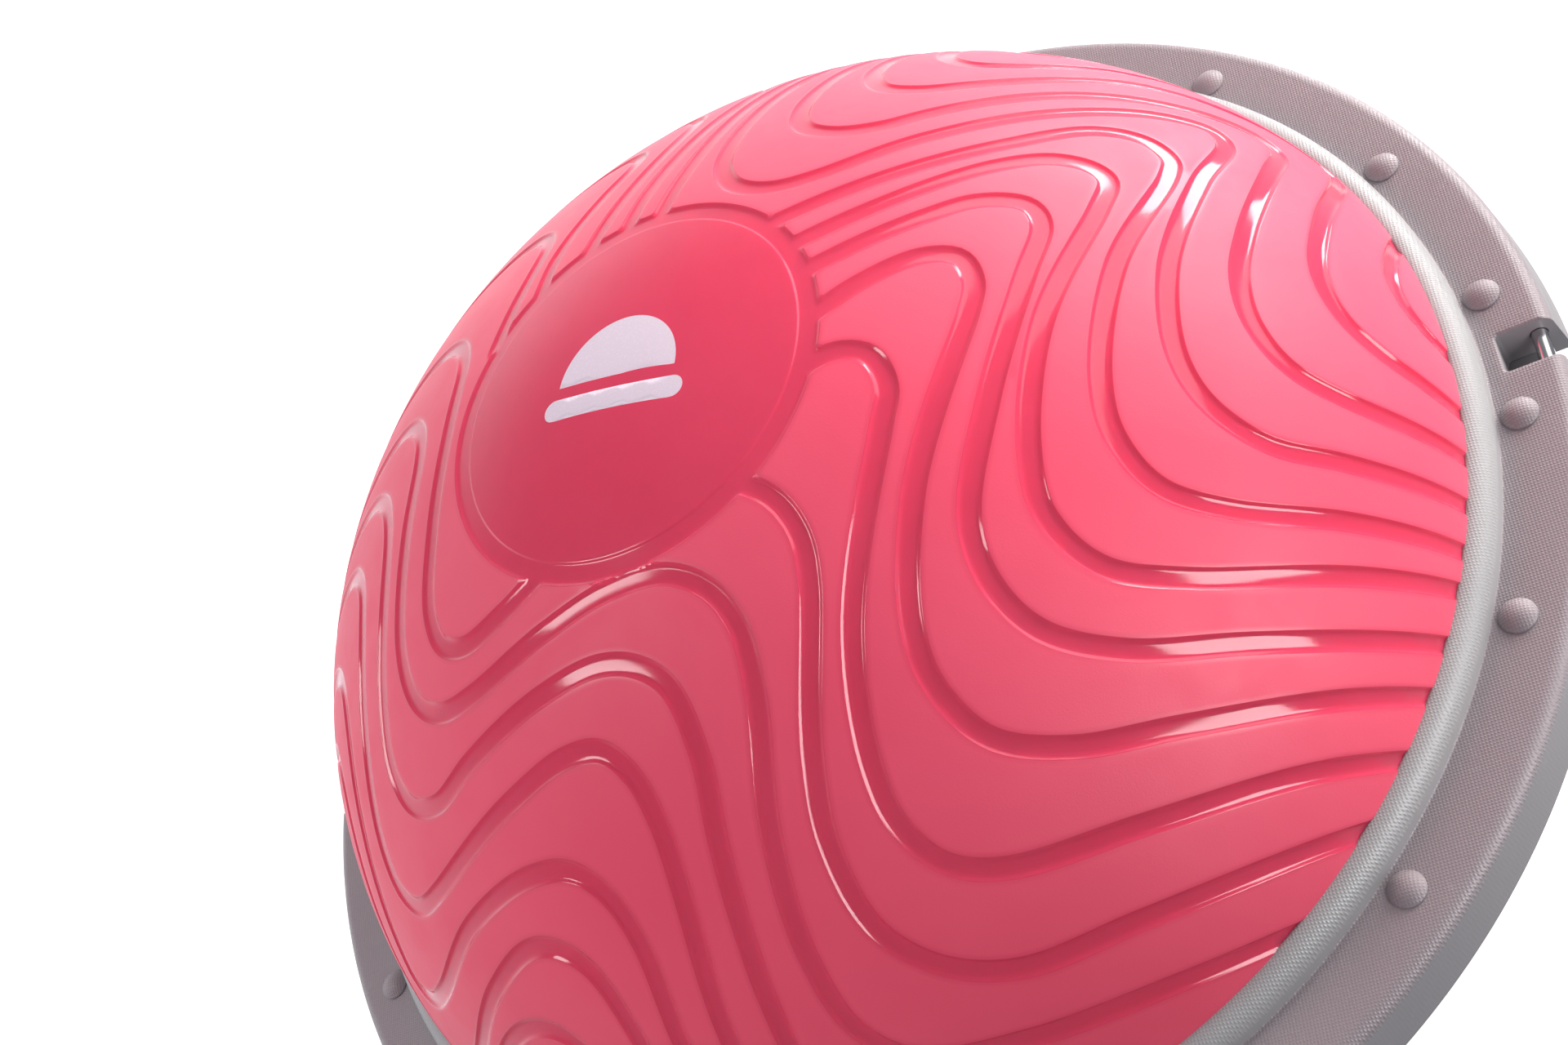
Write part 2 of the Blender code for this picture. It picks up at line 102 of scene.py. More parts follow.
# Centre lines of the grooves, as guide points that a smooth curve passes through.
TREAD_LINES = [
    # nested waves on the east side, from the rim inwards
    [(334, 96), (319, 76), (306, 50), (300, 30), (303, 12), (316, 0), (334, -8)],
    [(334, -40), (316, -36), (298, -31), (282, -25), (267, -12), (261, 10), (270, 47), (288, 93), (294, 114),
     (289, 131), (274, 141), (250, 144), (211, 143), (166, 131), (138, 126), (118, 126), (103, 134),
     (97, 150), (99, 175), (111, 215), (126, 252), (131, 270), (124, 285), (104, 293), (60, 306), (22, 326)],
    [(335, -64), (314, -61), (257, -52), (238, -42), (228, -24), (227, -2), (234, 24), (253, 75), (261, 100),
     (256, 113), (242, 119), (210, 119), (175, 114), (124, 101), (104, 96), (86, 99), (73, 110), (70, 128),
     (79, 166), (96, 215), (104, 244), (98, 258), (80, 266), (45, 274), (0, 284), (-35, 292), (-52, 306),
     (-55, 326)],
    [(335, -87), (310, -85), (251, -80), (224, -76), (206, -62), (198, -42), (201, -2), (221, 53), (236, 88),
     (232, 101), (217, 104), (181, 98), (120, 81), (80, 69), (61, 70), (47, 80), (41, 97), (43, 120),
     (61, 174), (75, 212), (76, 228), (64, 239), (40, 245), (0, 250), (-45, 254), (-68, 262), (-78, 280),
     (-74, 318)],
    [(330, -109), (302, -107), (251, -104), (205, -101), (182, -92), (171, -73), (170, -50), (183, 0),
     (209, 53), (211, 66), (203, 78), (186, 82), (150, 71), (100, 57), (64, 47)],
    [(325, -125), (251, -125), (185, -125), (157, -118), (143, -99), (142, -75), (154, -26), (181, 30),
     (186, 47), (181, 55), (168, 60), (150, 58), (100, 41), (70, 31)],
    [(315, -149), (201, -149), (158, -147), (133, -137), (121, -120), (118, -97), (132, -54), (152, -2),
     (160, 22), (156, 33), (140, 37), (120, 32), (74, 16)],
    [(306, -171), (241, -171), (172, -175), (132, -176), (107, -168), (94, -148), (92, -127), (102, -83),
     (131, -16), (134, -3), (130, 9), (118, 12), (96, 5), (74, -7)],
    [(290, -196), (221, -197), (150, -206), (100, -211), (80, -205), (69, -190), (66, -170), (72, -125),
     (96, -56), (100, -41), (95, -27), (84, -23), (70, -27)],
    [(271, -219), (221, -225), (140, -239), (92, -246), (65, -238), (48, -220), (43, -190), (47, -162),
     (62, -105), (62, -87), (55, -72), (40, -60)],
    [(238, -252), (190, -260), (150, -266), (85, -273), (42, -269), (25, -253), (20, -224), (24, -182),
     (34, -137), (34, -112), (26, -96), (11, -86), (-13, -84), (-43, -88), (-84, -95), (-106, -93),
     (-120, -81), (-125, -60), (-117, -12), (-110, 22), (-112, 38), (-122, 50), (-140, 55), (-170, 52),
     (-225, 38), (-253, 35), (-272, 44), (-281, 66), (-276, 110), (-262, 200)],
    # the same waves carried round the south and west sides
    [(150, -298), (80, -300), (30, -297), (6, -287), (-4, -265), (-3, -239), (4, -180), (8, -150), (4, -125),
     (-6, -114), (-22, -108), (-50, -109), (-94, -117), (-122, -123), (-141, -115), (-149, -96), (-145, -66),
     (-136, -28), (-133, 0), (-138, 18), (-150, 28), (-170, 32), (-200, 29), (-255, 17), (-284, 10),
     (-304, 20), (-312, 44), (-308, 90)],
    [(-2, -326), (-24, -310), (-31, -285), (-27, -245), (-17, -190), (-16, -165), (-20, -148), (-30, -136),
     (-46, -133), (-78, -138), (-142, -151), (-163, -150), (-176, -138), (-179, -118), (-168, -68),
     (-160, -26), (-161, -8), (-170, 3), (-189, 8), (-220, 6), (-280, -8), (-330, -16)],
    [(-60, -326), (-56, -285), (-48, -239), (-43, -204), (-48, -183), (-60, -170), (-82, -165), (-126, -169),
     (-178, -182), (-202, -180), (-214, -167), (-211, -148), (-198, -97), (-191, -55), (-194, -36),
     (-205, -26), (-228, -21), (-270, -26), (-330, -42)],
    [(-78, -330), (-71, -265), (-67, -230), (-71, -205), (-82, -193), (-98, -188), (-134, -195), (-185, -212),
     (-212, -213), (-232, -203), (-242, -183), (-237, -150), (-223, -100), (-220, -68), (-227, -52),
     (-244, -46), (-280, -50), (-330, -66)],
    [(-100, -316), (-93, -262), (-95, -240), (-106, -221), (-124, -214), (-150, -216), (-195, -231),
     (-240, -240)],
    [(-124, -310), (-119, -274), (-126, -256), (-144, -248), (-172, -253), (-210, -268)],
    [(-272, -205), (-264, -165), (-252, -118), (-251, -97), (-262, -85), (-285, -84), (-325, -96)],
    [(-296, -160), (-284, -132), (-290, -118), (-310, -118)],
    # lines that start at the medallion and run to the west and north
    [(-40, -66), (-62, -73), (-84, -76), (-97, -69), (-102, -53), (-97, -20), (-88, 32), (-86, 60), (-92, 74),
     (-106, 84), (-130, 88), (-170, 82), (-220, 72), (-242, 76), (-254, 92), (-256, 120), (-244, 190),
     (-236, 230)],
    [(-64, 52), (-58, 70), (-49, 98), (-48, 110), (-56, 121), (-75, 127), (-110, 126), (-160, 116),
     (-195, 109), (-214, 116), (-222, 136), (-217, 170), (-204, 220), (-196, 262)],
    [(-42, 66), (-37, 90), (-20, 125), (-11, 145), (-14, 157), (-28, 164), (-60, 165), (-110, 157),
     (-155, 150), (-176, 157), (-185, 176), (-181, 205), (-168, 250), (-160, 286)],
    [(-20, 72), (-12, 95), (8, 143), (13, 166), (9, 180), (-6, 188), (-45, 191), (-95, 187), (-128, 188),
     (-146, 198), (-151, 220), (-145, 250), (-132, 300)],
    [(-1, 74), (5, 98), (27, 153), (38, 184), (40, 200), (30, 212), (5, 218), (-45, 220), (-85, 221),
     (-105, 230), (-113, 250), (-108, 280), (-98, 318)],
    [(14, 72), (21, 97), (40, 153), (54, 190), (66, 222)],
    # corner waves on the north-east side
    [(178, 282), (160, 245), (149, 215), (152, 200), (164, 192), (184, 192), (220, 202), (262, 204)],
    [(155, 292), (134, 232), (124, 190), (127, 168), (137, 156), (152, 152), (172, 155), (215, 170),
     (250, 176), (285, 172)],
    [(204, 262), (182, 236), (181, 226), (192, 220), (214, 226), (242, 234)],
]

# The printed emblem on the medallion: a half disc over a bar, in chart millimetres.
PRINT_TURN = math.radians(-14)
PRINT_RADIUS = 26.0
PRINT_GAP = 5.0
PRINT_BAR = (62.0, 9.0)
PRINT_LIFT = 0.00008
PRINT_GRID = 3.0

# The rim ring's section.
RING_STEPS = 360
RING_INNER = 0.2502
RING_BORE = 0.2524
RING_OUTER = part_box("clamp_ring")[1].y
RING_BOTTOM_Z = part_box("clamp_ring")[0].z
CREST_TOP_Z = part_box("clamp_ring")[1].z
CREST_CORNER = 0.0016
CREST_WIDTH = 0.0082
CREST_DROP = 0.0098
CREST_FOOT = 0.0005
CREST_END = RING_INNER + CREST_CORNER + CREST_WIDTH + CREST_FOOT
RIVET_HEIGHT = 0.0033
FLANGE_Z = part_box("rim_rivet_01")[1].z - RIVET_HEIGHT
FLANGE_THICKNESS = 0.003
LIP_RADIUS = 0.0055
LIP_CENTRE_R = 0.2819
LIP_END = math.radians(4.5)
SKIRT_CHAMFER = 0.001
SKIRT_THICKNESS = 0.0031
HEM_TOP_Z = 0.009
HEM_SLOPE = 0.003
HEM_INNER = 0.2833

# The band pockets.
POCKET_HALF_WIDTH = 0.0085
POCKET_INNER = 0.2667
POCKET_CORNER = 0.0018
POCKET_WALL = 0.004
POCKET_EDGE_ROUND = 0.0012
POCKET_FLOOR_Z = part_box("base_platform")[0].z + 0.004

# The rivets and the band pins.
RIVET_COUNT = 16
RIVET_EDGE = 0.0008
RIVET_SHANK = 0.0025
RIVET_TIP = 0.0014
PIN_CHAMFER = 0.0006
PIN_BORE_RADIUS = 0.0033
PIN_BORE_HALF = 0.015

# The platform's underside: shallow panels between ribs.
PANEL_RINGS = ((0.040, 0.116), (0.121, 0.198))
PANEL_COUNT = 16
PANEL_RIB = 0.005
PANEL_CORNER = 0.005
PANEL_DEPTH = 0.0012
PANEL_DRAFT = 0.0004

# The rubber feet.
FOOT_COUNT = 8
FOOT_STEM = 0.004
FOOT_BODY_TOP = 0.0047
FOOT_EDGE = 0.0012
FOOT_GROOVE = 0.0009
FOOT_RING_INSET = 0.003
FOOT_RING_STEP = 0.0033

# The valve in the dome's bottom, and its plug.
VALVE_BORE = 0.0053
VALVE_NECK = 0.0077
PLUG_HEAD = 0.0022
PLUG_SHANK = 0.005
PLUG_RIB_STEP = 0.0028

# The moulded dot texture's pitch.
DOT_PITCH = 0.00115

# Camera and light.
CAMERA_PLACE = (0.3348, -0.4905, 0.6853)
CAMERA_TARGET = (-0.1002, 0.0763, -0.0143)
CAMERA_ROLL = math.radians(-50.24)
CAMERA_LENS = 48.63
CAMERA_SHIFT = (0.0475, 0.0328)
WHITE = (1.0, 1.0, 1.0)
WARM = (1.0, 0.97, 0.92)
FLOOR_HALF = 60.0
WORLD_LIGHT = 0.31
BACKDROP_GLOW = 0.95
BACKDROP_SIDE = (-0.64, 0.77, 0.0)


# ---------------------------------------------------------------- meshes


def new_object(name, mesh, body=BODY):
    obj = bpy.data.objects.new(name, mesh)
    bpy.context.scene.collection.objects.link(obj)
    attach(obj, body)
    return obj


def arc(centre, radius, start, end, steps):
    """Points (r, z) along an arc, from the angle start to the angle end."""
    angles = [start + (end - start) * i / steps for i in range(steps + 1)]
    return [(centre[0] + radius * math.cos(a), centre[1] + radius * math.sin(a)) for a in angles]


def turned_mesh(name, profile, steps, closed=False, place=(0.0, 0.0, 0.0)):
    """A profile of (r, z) points turned about Z. Points on the axis become one vertex."""
    bm = bmesh.new()
    rings = []
    for r, z in profile:
        if r < 1e-7:
            rings.append([bm.verts.new((place[0], place[1], place[2] + z))] * steps)
            continue
        ring = []
        for i in range(steps):
            angle = math.tau * i / steps
            ring.append(bm.verts.new((place[0] + r * math.cos(angle), place[1] + r * math.sin(angle),
                                      place[2] + z)))
        rings.append(ring)
    pairs = list(zip(rings, rings[1:]))
    if closed:
        pairs.append((rings[-1], rings[0]))
    for upper, lower in pairs:
        for i in range(steps):
            j = (i + 1) % steps
            corners = [upper[i], lower[i], lower[j], upper[j]]
            unique = [v for k, v in enumerate(corners) if v not in corners[:k]]
            if len(unique) > 2:
                bm.faces.new(unique)
    bmesh.ops.recalc_face_normals(bm, faces=bm.faces)
    mesh = bpy.data.meshes.new(name)
    bm.to_mesh(mesh)
    bm.free()
    return mesh


def smooth(mesh, angle=None):
    mesh.shade_smooth()
    if angle is not None:
        mesh.set_sharp_from_angle(angle=angle)


def helper(name, mesh):
    """An object that only shapes another one, and is removed afterwards."""
    obj = bpy.data.objects.new(name, mesh)
    bpy.context.scene.collection.objects.link(obj)
    return obj


def boolean(mesh, tool_mesh, operation):
    """The mesh combined with another one, as a new mesh."""
    base = helper("boolean_base", mesh)
    tool = helper("boolean_tool", tool_mesh)
    modifier = base.modifiers.new("Boolean", "BOOLEAN")
    modifier.operation = operation
    modifier.solver = "EXACT"
    modifier.object = tool
    bpy.context.view_layer.update()
    graph = bpy.context.evaluated_depsgraph_get()
    made = bpy.data.meshes.new_from_object(base.evaluated_get(graph))
    bpy.data.objects.remove(base)
    bpy.data.objects.remove(tool)
    return made


# ---------------------------------------------------------------- the dome's chart


def skin_lengths():
    """Angles from the pole and the skin's length from the pole down to each."""
    angles = np.linspace(0.0, math.pi / 2, 4001)
    slopes = np.hypot(DOME_RADIUS * np.cos(angles), DOME_HALF_HEIGHT * np.sin(angles))
    steps = (slopes[1:] + slopes[:-1]) / 2 * np.diff(angles)
    return angles, np.concatenate([[0.0], np.cumsum(steps)])


SKIN_ANGLES, SKIN_LENGTHS = skin_lengths()
LIP_ANGLE = math.acos((LIP_Z - DOME_CENTRE_Z) / DOME_HALF_HEIGHT)
CHART_EDGE = float(np.interp(LIP_ANGLE, SKIN_ANGLES, SKIN_LENGTHS)) / MM


def on_skin(chart, lift):
    """Chart points, in millimetres, as places on the dome, raised along its normal by lift metres."""
    length = np.hypot(chart[:, 0], chart[:, 1])
    turn = np.arctan2(chart[:, 1], chart[:, 0])
    angle = np.interp(length * MM, SKIN_LENGTHS, SKIN_ANGLES)
    normal_r = np.sin(angle) / DOME_RADIUS
    normal_z = np.cos(angle) / DOME_HALF_HEIGHT
    size = np.hypot(normal_r, normal_z)
    r = DOME_RADIUS * np.sin(angle) + lift * normal_r / size
    z = DOME_CENTRE_Z + DOME_HALF_HEIGHT * np.cos(angle) + lift * normal_z / size
    return np.stack([r * np.cos(turn), r * np.sin(turn), z], axis=1)


def smooth_curve(guides, spacing):
    """Evenly spaced points along a centripetal Catmull-Rom curve through the guide points."""
    p = np.array(guides, float)
    p = np.vstack([2 * p[0] - p[1], p, 2 * p[-1] - p[-2]])
    knots = np.concatenate([[0.0], np.cumsum(np.linalg.norm(np.diff(p, axis=0), axis=1) ** 0.5)])
    found = []
    for i in range(1, len(p) - 2):
        t0, t1, t2, t3 = knots[i - 1:i + 3]
        t = np.linspace(t1, t2, 24, endpoint=False)[:, None]
        a1 = ((t1 - t) * p[i - 1] + (t - t0) * p[i]) / (t1 - t0)
        a2 = ((t2 - t) * p[i] + (t - t1) * p[i + 1]) / (t2 - t1)
        a3 = ((t3 - t) * p[i + 1] + (t - t2) * p[i + 2]) / (t3 - t2)
        b1 = ((t2 - t) * a1 + (t - t0) * a2) / (t2 - t0)
        b2 = ((t3 - t) * a2 + (t - t1) * a3) / (t3 - t1)
        found.append(((t2 - t) * b1 + (t - t1) * b2) / (t2 - t1))
    curve = np.vstack(found + [p[-2:-1]])
    run = np.concatenate([[0.0], np.cumsum(np.linalg.norm(np.diff(curve, axis=0), axis=1))])
    places = np.linspace(0.0, run[-1], max(2, round(run[-1] / spacing) + 1))
    return np.stack([np.interp(places, run, curve[:, 0]), np.interp(places, run, curve[:, 1])], axis=1)


def groove_lookup():
    """A search tree of the grooves' centre lines."""
    points = np.vstack([smooth_curve(line, LOOKUP_SPACING) for line in TREAD_LINES])
    tree = KDTree(len(points))
    for i, (x, y) in enumerate(points):
        tree.insert((x, y, 0.0), i)
    tree.balance()
    return tree


def groove_distance(tree, chart):
    """How far each chart point is from the nearest groove's centre line."""
    to_line = np.array([tree.find((x, y, 0.0))[2] for x, y in chart])
    from_middle = np.hypot(chart[:, 0] - MEDALLION_CENTRE[0], chart[:, 1] - MEDALLION_CENTRE[1])
    to_ring = np.maximum(from_middle - MEDALLION_GROOVE, 0.0)
    return np.minimum(to_line, to_ring), from_middle


def tread_lift(distance, from_middle):
    """The surface's height over the dome's skin, in metres, at a distance from a groove's centre line."""
    t = np.clip((distance - GROOVE_FLOOR) / (GROOVE_HALF - GROOVE_FLOOR), 0.0, 1.0)
    straight = (t - WALL_FILLET / 2) / (1.0 - WALL_FILLET / 2)
    wall = 1.0 - np.where(t < WALL_FILLET, t * t / (WALL_FILLET * (2.0 - WALL_FILLET)), straight)
    dish = 1.0 - FLOOR_DISH * np.clip(distance / GROOVE_FLOOR, 0.0, 1.0) ** 2
    roll = EDGE_ROLL * np.exp(-np.clip(distance - GROOVE_HALF, 0.0, None) / EDGE_ROLL_LENGTH)
    step = np.clip((DISC_EDGE - from_middle) / DISC_EDGE_LINES[-1] + 0.5, 0.0, 1.0)
    disc = DISC_STEP * step * step * (3.0 - 2.0 * step)
    return -(GROOVE_DEPTH * wall * dish + roll * (1.0 - wall) - disc) * MM


def at_distance(tree, points, offset):
    """The points that no other groove comes nearer to than the offset."""
    distance, _ = groove_distance(tree, points)
    return points[np.abs(distance - offset) < LINE_TOLERANCE]


def groove_points(tree):
    """Chart points on the grooves' floors, walls and edges, leaving out those inside another groove."""
    found = []
    for line in TREAD_LINES:
        curve = smooth_curve(line, GROOVE_SPACING)
        along = np.gradient(curve, axis=0)
        across = np.stack([-along[:, 1], along[:, 0]], axis=1) / np.linalg.norm(along, axis=1)[:, None]
        for offset in GROOVE_LINES:
            for side in (1.0, -1.0) if offset else (1.0,):
                found.append(at_distance(tree, curve + across * offset * side, offset))
    turns = np.linspace(0.0, math.tau, MEDALLION_STEPS, endpoint=False)
    circle = np.stack([np.cos(turns), np.sin(turns)], axis=1)
    for offset in GROOVE_LINES:
        points = circle * (MEDALLION_GROOVE + offset) + np.array(MEDALLION_CENTRE)
        found.append(at_distance(tree, points, offset))
    for offset in DISC_EDGE_LINES:
        found.append(circle * (DISC_EDGE + offset) + np.array(MEDALLION_CENTRE))
    return np.vstack(found)


def fill_points(tree):
    """A triangular grid of chart points on the plateaus and the medallion."""
    rows = int(CHART_EDGE / (FILL_SPACING * FILL_ROW)) + 1
    columns = int(CHART_EDGE / FILL_SPACING) + 1
    grid = []
    for row in range(-rows, rows + 1):
        for column in range(-columns, columns + 1):
            grid.append(((column + 0.5 * (row % 2)) * FILL_SPACING, row * FILL_SPACING * FILL_ROW))
    grid = np.array(grid)
    distance, from_middle = groove_distance(tree, grid)
    on_plateau = distance > GROOVE_LINES[-1] + FILL_SPACING * 0.45
    return grid[on_plateau | (from_middle < DISC_EDGE - FILL_SPACING * 0.7)]


def tread_mesh():
    """The dome's outer skin with its tread, and the neck, bead, bottom and inner skin that close it."""
    tree = groove_lookup()
    turns = np.linspace(0.0, math.tau, NECK_STEPS, endpoint=False)
    edge = np.stack([np.cos(turns), np.sin(turns)], axis=1) * CHART_EDGE
    inner = np.vstack([groove_points(tree), fill_points(tree)])
    inner = inner[np.hypot(inner[:, 0], inner[:, 1]) < CHART_EDGE - EDGE_MARGIN]
    chart = np.vstack([edge, inner])
    rim_edges = [(i, (i + 1) % NECK_STEPS) for i in range(NECK_STEPS)]
    flat = delaunay_2d_cdt([Vector(p) for p in chart.tolist()], rim_edges, [], 1, 0.05)
    chart = np.array([tuple(p) for p in flat[0]])
    distance, from_middle = groove_distance(tree, chart)
    lift = tread_lift(distance, from_middle)
    places = on_skin(chart, lift)
    # mask of grooves, medallion and plateau edges: it sets their gloss, and the darker pink painted shade in
    # the material
    gloss_and_painted_shade = np.clip((GROOVE_HALF + GLOSS_EDGE - distance) / GLOSS_FADE, 0.0, 1.0)
    bm = bmesh.new()
    verts = [bm.verts.new(p) for p in places.tolist()]
    for face in flat[2]:
        bm.faces.new([verts[i] for i in face])
    close_below(bm)
    bmesh.ops.recalc_face_normals(bm, faces=bm.faces)
    mesh = bpy.data.meshes.new("tread")
    bm.to_mesh(mesh)
    bm.free()
    values = np.zeros(len(mesh.vertices), np.float32)
    values[:len(gloss_and_painted_shade)] = gloss_and_painted_shade
    mesh.attributes.new("gloss_and_painted_shade", "FLOAT", "POINT").data.foreach_set("value", values)
    depths = np.zeros(len(mesh.vertices), np.float32)
    depths[:len(lift)] = np.clip(-lift / (GROOVE_DEPTH * MM), 0.0, 1.0)
    mesh.attributes.new("depth", "FLOAT", "POINT").data.foreach_set("value", depths)
    smooth(mesh, math.radians(70))
    return mesh


def closing_profile():
    """(r, z) from the lip down the neck, round the bead and bottom, into the well and up the inner skin."""
    profile = [(NECK_RADIUS, LIP_Z - 0.003), (NECK_RADIUS, BEAD_TOP_Z), (BEAD_RADIUS, BEAD_TOP_Z)]
    profile += [(BEAD_RADIUS, BEAD_BOTTOM_Z), (NECK_RADIUS, BEAD_BOTTOM_Z)]
    corner = (NECK_RADIUS - BOTTOM_CORNER, MEMBRANE_Z + BOTTOM_CORNER)
    profile += arc(corner, BOTTOM_CORNER, 0.0, -math.pi / 2, 5)
    well_z = MEMBRANE_Z + WELL_DEPTH
    profile += [(WELL_RADIUS + WELL_SLOPE, MEMBRANE_Z), (WELL_RADIUS, well_z), (HOLE_RADIUS, well_z)]
    profile += [(HOLE_RADIUS, well_z + DOME_WALL), (WELL_RADIUS + DOME_WALL / 2, well_z + DOME_WALL)]
    profile += [(WELL_RADIUS + WELL_SLOPE + DOME_WALL / 2, MEMBRANE_Z + DOME_WALL)]
    profile += [(corner[0], MEMBRANE_Z + DOME_WALL), (NECK_RADIUS - DOME_WALL, corner[1])]
    inside = (DOME_RADIUS - DOME_WALL, DOME_HALF_HEIGHT - DOME_WALL)
    start = math.asin((LIP_Z - DOME_CENTRE_Z) / inside[1])
    for i in range(9):
        angle = start + (math.pi / 2 - start) * i / 9
        profile.append((inside[0] * math.cos(angle), DOME_CENTRE_Z + inside[1] * math.sin(angle)))
    return profile


def close_below(bm):
    """Joins turned rings to the skin's open edge, down to a closing point inside the top."""
    ring = sorted((v for v in bm.verts if v.is_boundary), key=lambda v: math.atan2(v.co.y, v.co.x))
    turns = [math.atan2(v.co.y, v.co.x) for v in ring]
    for r, z in closing_profile():
        lower = [bm.verts.new((r * math.cos(t), r * math.sin(t), z)) for t in turns]
        for i in range(len(ring)):
            j = (i + 1) % len(ring)
            bm.faces.new((ring[i], ring[j], lower[j], lower[i]))
        ring = lower
    top = bm.verts.new((0.0, 0.0, DOME_CENTRE_Z + DOME_HALF_HEIGHT - DOME_WALL))
    for i in range(len(ring)):
        bm.faces.new((ring[i], ring[(i + 1) % len(ring)], top))


def print_mesh(name, outline):
    """A flat chart outline as a thin printed film on the dome."""
    bm = bmesh.new()
    steps = len(outline)
    low = np.floor(np.min(outline, axis=0) / PRINT_GRID)
    high = np.ceil(np.max(outline, axis=0) / PRINT_GRID)
    grid = [(x * PRINT_GRID, y * PRINT_GRID) for x in np.arange(low[0], high[0] + 1)
            for y in np.arange(low[1], high[1] + 1)]
    edges = [(i, (i + 1) % steps) for i in range(steps)]
    flat = delaunay_2d_cdt([Vector(p) for p in outline + grid], edges, [], 1, 0.001)
    chart = np.array([tuple(p) for p in flat[0]])
    lift = (DISC_STEP - GROOVE_DEPTH) * MM + PRINT_LIFT
    top = [bm.verts.new(p) for p in on_skin(chart, np.full(len(chart), lift)).tolist()]
    for face in flat[2]:
        bm.faces.new([top[i] for i in face])
    bmesh.ops.recalc_face_normals(bm, faces=bm.faces)
    mesh = bpy.data.meshes.new(name)
    bm.to_mesh(mesh)
    bm.free()
    smooth(mesh)
    return mesh


# ---------------------------------------------------------------- materials


class Surface:
    """A Principled material under construction, with short calls for the nodes that feed it."""

    def __init__(self, name, **settings):
        self.material = bpy.data.materials.new(name)
        self.material.use_nodes = True
        self.tree = self.material.node_tree
        self.shader = self.tree.nodes["Principled BSDF"]
        self.place = self.add("ShaderNodeTexCoord").outputs["Object"]
        for socket, value in settings.items():
            self.shader.inputs[socket.replace("_", " ")].default_value = value

    def add(self, kind, **settings):
        node = self.tree.nodes.new(kind)
        for key, value in settings.items():
            setattr(node, key, value)
        return node

    def feed(self, socket, value):
        if isinstance(value, bpy.types.NodeSocket):
            self.tree.links.new(value, socket)
        else:
            socket.default_value = value

    def math(self, operation, a, b=0.0, c=0.0):
        node = self.add("ShaderNodeMath", operation=operation)
        for socket, value in zip(node.inputs, (a, b, c)):
            self.feed(socket, value)
        return node.outputs[0]

    def noise(self, scale, detail=2.0, roughness=0.5, stretch=None):
        node = self.add("ShaderNodeTexNoise")
        node.inputs["Scale"].default_value = scale
        node.inputs["Detail"].default_value = detail
        node.inputs["Roughness"].default_value = roughness
        place = self.place
        if stretch is not None:
            mapping = self.add("ShaderNodeMapping")
            mapping.inputs["Scale"].default_value = stretch
            self.feed(mapping.inputs["Vector"], place)
            place = mapping.outputs[0]
        self.feed(node.inputs["Vector"], place)
        return node.outputs["Fac"]

    def ramp(self, value, low, high, to_low=0.0, to_high=1.0):
        node = self.add("ShaderNodeMapRange", interpolation_type="SMOOTHSTEP")
        for socket, setting in zip(node.inputs, (value, low, high, to_low, to_high)):
            self.feed(socket, setting)
        return node.outputs[0]

    def attribute(self, name):
        return self.add("ShaderNodeAttribute", attribute_name=name).outputs["Fac"]

    def mix(self, share, a, b):
        node = self.add("ShaderNodeMix", data_type="RGBA")
        self.feed(node.inputs[0], share)
        self.feed(node.inputs[6], (*a, 1.0) if isinstance(a, tuple) else a)
        self.feed(node.inputs[7], (*b, 1.0) if isinstance(b, tuple) else b)
        return node.outputs[2]

    def bump(self, height, strength, distance, normal=None):
        node = self.add("ShaderNodeBump")
        self.feed(node.inputs["Strength"], strength)
        node.inputs["Distance"].default_value = distance
        self.feed(node.inputs["Height"], height)
        if normal is not None:
            self.feed(node.inputs["Normal"], normal)
        return node.outputs[0]

    def colour(self, value):
        self.feed(self.shader.inputs["Base Color"], value)

    def roughness(self, value):
        self.feed(self.shader.inputs["Roughness"], value)

    def normal(self, value):
        self.feed(self.shader.inputs["Normal"], value)

    def rounded(self, radius):
        node = self.add("ShaderNodeBevel", samples=6)
        node.inputs["Radius"].default_value = radius
        return node.outputs[0]

    def plan_radius(self):
        """The distance from the vertical axis."""
        node = self.add("ShaderNodeVectorMath", operation="LENGTH")
        flat = self.add("ShaderNodeVectorMath", operation="MULTIPLY")
        flat.inputs[1].default_value = (1.0, 1.0, 0.0)
        self.feed(flat.inputs[0], self.place)
        self.feed(node.inputs[0], flat.outputs[0])
        return node.outputs["Value"]

    def facing_up(self):
        """How far the surface faces up, from -1 to 1."""
        node = self.add("ShaderNodeSeparateXYZ")
        self.feed(node.inputs[0], self.add("ShaderNodeTexCoord").outputs["Normal"])
        return node.outputs["Z"]


